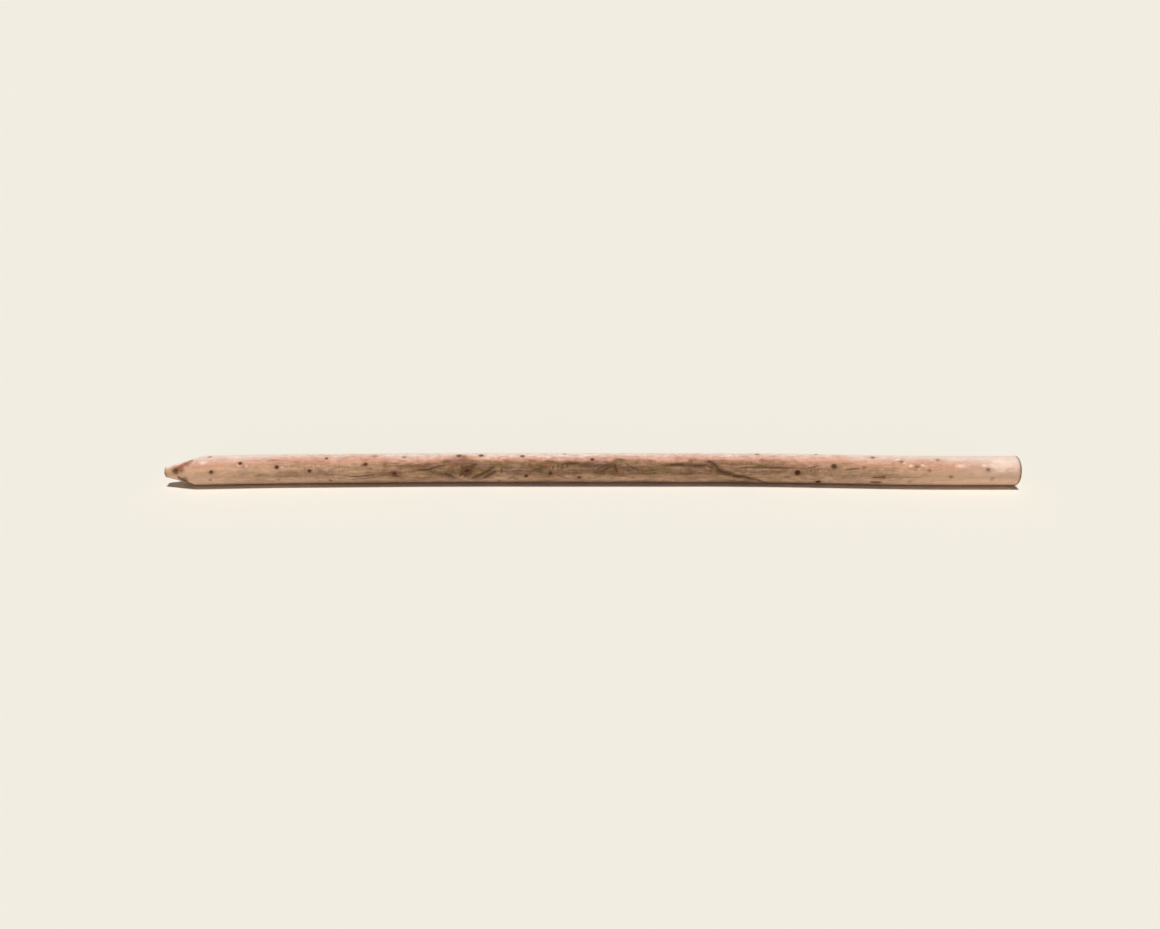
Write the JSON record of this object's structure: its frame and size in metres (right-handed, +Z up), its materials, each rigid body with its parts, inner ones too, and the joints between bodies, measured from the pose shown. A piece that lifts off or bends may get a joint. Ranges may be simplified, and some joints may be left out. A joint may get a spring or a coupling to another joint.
{
  "type": "tree stake",
  "caption": "Round peeled softwood tree stake with a blunt turned point, a chamfered sawn head, a slight natural crook and loose dead knots.",
  "frame": {"origin": "on the ground, below the middle of the stake as it lies on its side", "axes": "+X along the stake from its point to its head, +Z up, +Y to the side that the stake bows to"},
  "size_m": [2.0004, 0.088, 0.07],
  "materials": {
    "pole_wood": "bare machine-rounded softwood, dry, with streaky grain, pinkish sapwood and tan-brown heart",
    "knot_wood": "bare dead knot wood, dark brown, ringed and cracked"
  },
  "bodies": {
    "root": {"pole": "pole_wood", "knot_01": "knot_wood", "knot_02": "knot_wood", "knot_03": "knot_wood", "knot_04": "knot_wood", "knot_05": "knot_wood", "knot_06": "knot_wood", "knot_07": "knot_wood", "knot_08": "knot_wood", "knot_09": "knot_wood", "knot_10": "knot_wood", "knot_11": "knot_wood", "knot_12": "knot_wood", "knot_13": "knot_wood", "knot_14": "knot_wood", "knot_15": "knot_wood", "knot_16": "knot_wood", "knot_17": "knot_wood", "knot_18": "knot_wood", "knot_19": "knot_wood", "knot_20": "knot_wood", "knot_21": "knot_wood", "knot_22": "knot_wood", "knot_23": "knot_wood", "knot_24": "knot_wood", "knot_25": "knot_wood", "knot_26": "knot_wood", "knot_27": "knot_wood", "knot_28": "knot_wood", "knot_29": "knot_wood", "knot_30": "knot_wood", "knot_31": "knot_wood", "knot_32": "knot_wood", "knot_33": "knot_wood", "knot_34": "knot_wood", "knot_35": "knot_wood", "knot_36": "knot_wood", "knot_37": "knot_wood", "knot_38": "knot_wood", "knot_39": "knot_wood", "knot_40": "knot_wood", "knot_41": "knot_wood", "knot_42": "knot_wood", "knot_43": "knot_wood", "knot_44": "knot_wood", "knot_45": "knot_wood", "knot_46": "knot_wood", "knot_47": "knot_wood", "knot_48": "knot_wood", "knot_49": "knot_wood", "knot_50": "knot_wood", "knot_51": "knot_wood", "knot_52": "knot_wood", "knot_53": "knot_wood", "knot_54": "knot_wood"}
  },
  "joints": []
}
